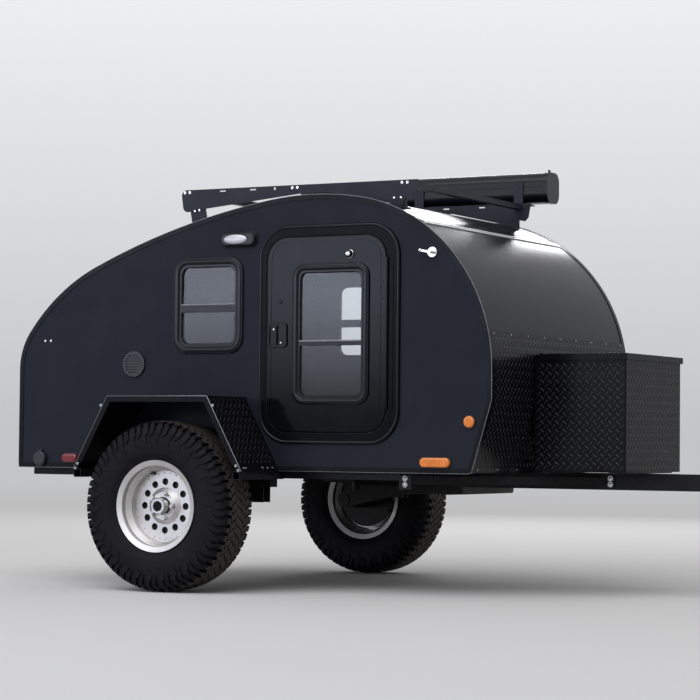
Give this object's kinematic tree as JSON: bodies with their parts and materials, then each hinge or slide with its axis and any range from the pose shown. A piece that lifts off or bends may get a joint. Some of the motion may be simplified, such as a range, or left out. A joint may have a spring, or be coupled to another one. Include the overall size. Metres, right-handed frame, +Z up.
{
  "type": "teardrop camping trailer",
  "caption": "Off-road teardrop camping trailer with side doors, rear galley hatch, tread plate fenders and front box, roof rack with awning case, and a tongue jack.",
  "frame": {"origin": "centre of the bounding box at ground level, standing on its wheels and jack", "axes": "+X forward along the tongue, +Y to the trailer's left, +Z up"},
  "size_m": [3.932, 2.227, 2.035],
  "materials": {
    "amber_lens": "amber lens",
    "awning_shell": "gloss black coated case",
    "bright_metal": "bright plated",
    "chassis_black": "semi-gloss black coated steel",
    "edge_moulding": "dark satin anodised moulding",
    "fitting_plastic": "moulded dark grey",
    "floor_board": "sealed plywood",
    "frame_black": "satin black coated frame",
    "gloss_door": "gloss black skin",
    "hub_steel": "cast drum and plated nuts",
    "jack_zinc": "black coated steel",
    "latch_black": "satin black latch",
    "rack_grey": "matt dark grey powder coat",
    "red_lens": "red lens",
    "satin_skin": "satin black paint over a composite wall",
    "tank_plastic": "black moulded tank",
    "tinted_glass": "grey tinted",
    "tread_plate": "gloss black coated tread plate",
    "tyre_rubber": "matt black rubber",
    "wheel_alloy": "machined bright alloy"
  },
  "bodies": {
    "trailer": {"awning_brackets": "rack_grey", "awning_case": "awning_shell", "brace_plates": "chassis_black", "coupler": "chassis_black", "cross_panels": "floor_board", "crossmembers": "chassis_black", "door_catches": "bright_metal", "door_frames": "frame_black", "edge_trims": "edge_moulding", "fenders": "tread_plate", "floor_panel": "floor_board", "frame_rails": "chassis_black", "front_panel": "satin_skin", "galley_counter": "floor_board", "jack_mount": "chassis_black", "lamps_amber": "amber_lens", "lamps_red": "red_lens", "nose_guard": "tread_plate", "porch_lights": "bright_metal", "rack_bars": "rack_grey", "rack_feet": "rack_grey", "rack_rails": "rack_grey", "roof_panel": "satin_skin", "side_panels": "satin_skin", "side_window_frames": "frame_black", "side_window_glass": "tinted_glass", "suspension_brackets": "chassis_black", "tongue_beam": "chassis_black", "tongue_box": "tread_plate", "tongue_braces": "chassis_black", "trailing_arms": "chassis_black", "wall_fittings": "fitting_plastic", "water_tank": "tank_plastic"},
    "door_right": {"door_right": "gloss_door", "door_window_right": "frame_black", "door_glass_right": "tinted_glass", "door_latch_right": "latch_black"},
    "door_left": {"door_left": "gloss_door", "door_window_left": "frame_black", "door_glass_left": "tinted_glass", "door_latch_left": "latch_black"},
    "hatch": {"galley_hatch": "satin_skin", "hatch_handle": "bright_metal"},
    "lid": {"box_lid": "tread_plate"},
    "jack_leg": {"jack": "jack_zinc"},
    "wheel_right": {"tyre_right": "tyre_rubber", "rim_right": "wheel_alloy", "hub_right": "hub_steel"},
    "wheel_left": {"tyre_left": "tyre_rubber", "rim_left": "wheel_alloy", "hub_left": "hub_steel"}
  },
  "joints": [
    {"name": "door_right_swing", "type": "hinge", "parent": "trailer", "child": "door_right", "pos_m": [0.074, -0.782, 1.169], "axis": [0, 0, 1], "range_deg": [0, 160]},
    {"name": "door_left_swing", "type": "hinge", "parent": "trailer", "child": "door_left", "pos_m": [0.074, 0.782, 1.169], "axis": [0, 0, -1], "range_deg": [0, 160]},
    {"name": "hatch_lift", "type": "hinge", "parent": "trailer", "child": "hatch", "pos_m": [-1.17, 0, 1.63485], "axis": [0, 1, 0], "range_deg": [0, 70]},
    {"name": "lid_lift", "type": "hinge", "parent": "trailer", "child": "lid", "pos_m": [0.614, 0, 1.0873], "axis": [0, -1, 0], "range_deg": [0, 85]},
    {"name": "jack_swing", "type": "hinge", "parent": "trailer", "child": "jack_leg", "pos_m": [1.586, 0.122, 0.516], "axis": [0, 1, 0], "range_deg": [0, 90]},
    {"name": "wheel_right_spin", "type": "hinge", "parent": "trailer", "child": "wheel_right", "pos_m": [-0.934, -0.98, 0.3875], "axis": [0, 1, 0], "continuous": true},
    {"name": "wheel_left_spin", "type": "hinge", "parent": "trailer", "child": "wheel_left", "pos_m": [-0.934, 0.98, 0.3875], "axis": [0, 1, 0], "continuous": true}
  ]
}
